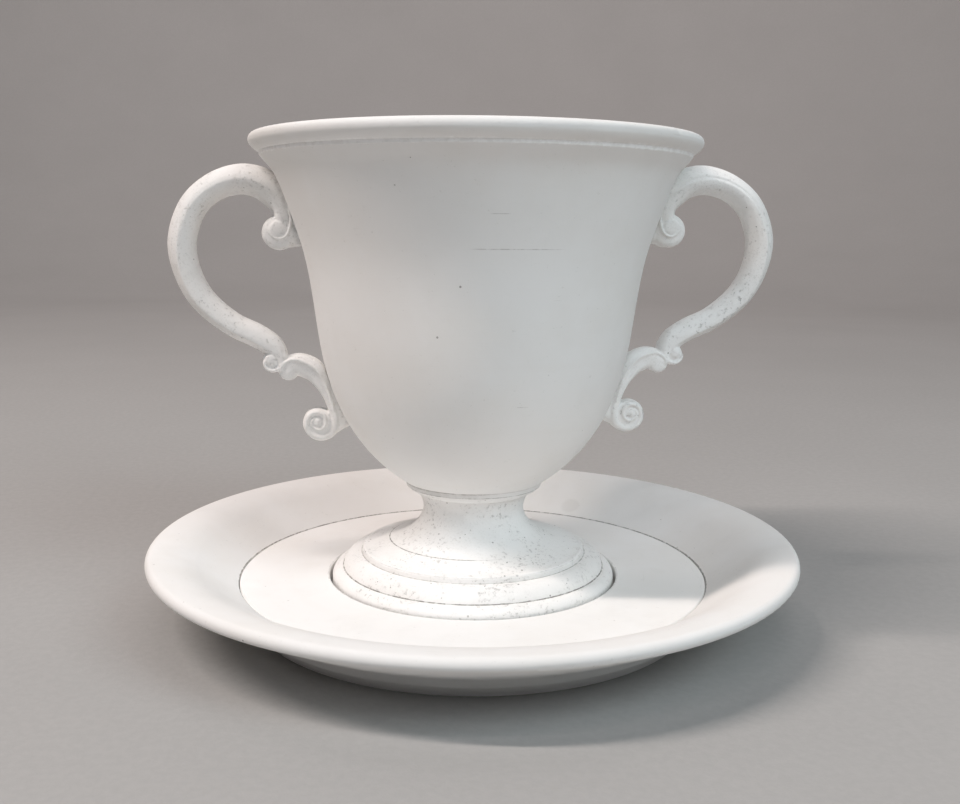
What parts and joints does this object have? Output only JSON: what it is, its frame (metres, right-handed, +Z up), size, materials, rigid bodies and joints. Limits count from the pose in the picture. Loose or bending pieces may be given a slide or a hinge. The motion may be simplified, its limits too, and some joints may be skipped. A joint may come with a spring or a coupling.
{
  "type": "two-handled footed cup with saucer, plaster model",
  "caption": "Plaster model of a footed cup with scroll handles, standing in the well of its broad shallow saucer.",
  "frame": {"origin": "centre of the saucer's base, on the surface it stands on", "axes": "+Z up along the axis of the cup and saucer; the handles lie along +X and -X"},
  "size_m": [0.165, 0.165, 0.1203],
  "materials": {
    "plaster": "matte, dry, unglazed plaster",
    "dowel_wood": "plain",
    "pin_brass": "drawn wire"
  },
  "bodies": {
    "saucer": {"saucer_dish": "plaster", "well_ring": "plaster"},
    "foot": {"cup_foot": "plaster", "neck_dowel": "dowel_wood"},
    "bowl": {"cup_bowl": "plaster", "handle_right": "plaster", "handle_left": "plaster", "upper_pin_right": "pin_brass", "upper_pin_left": "pin_brass", "lower_pin_right": "pin_brass", "lower_pin_left": "pin_brass"}
  },
  "joints": [
    {"name": "cup_lift", "type": "slide", "parent": "saucer", "child": "foot", "axis": [0, 0, 1], "range_m": [0, 0.06]},
    {"name": "bowl_turn", "type": "hinge", "parent": "foot", "child": "bowl", "pos_m": [0, 0, 0.033], "axis": [0, 0, 1], "continuous": true}
  ]
}
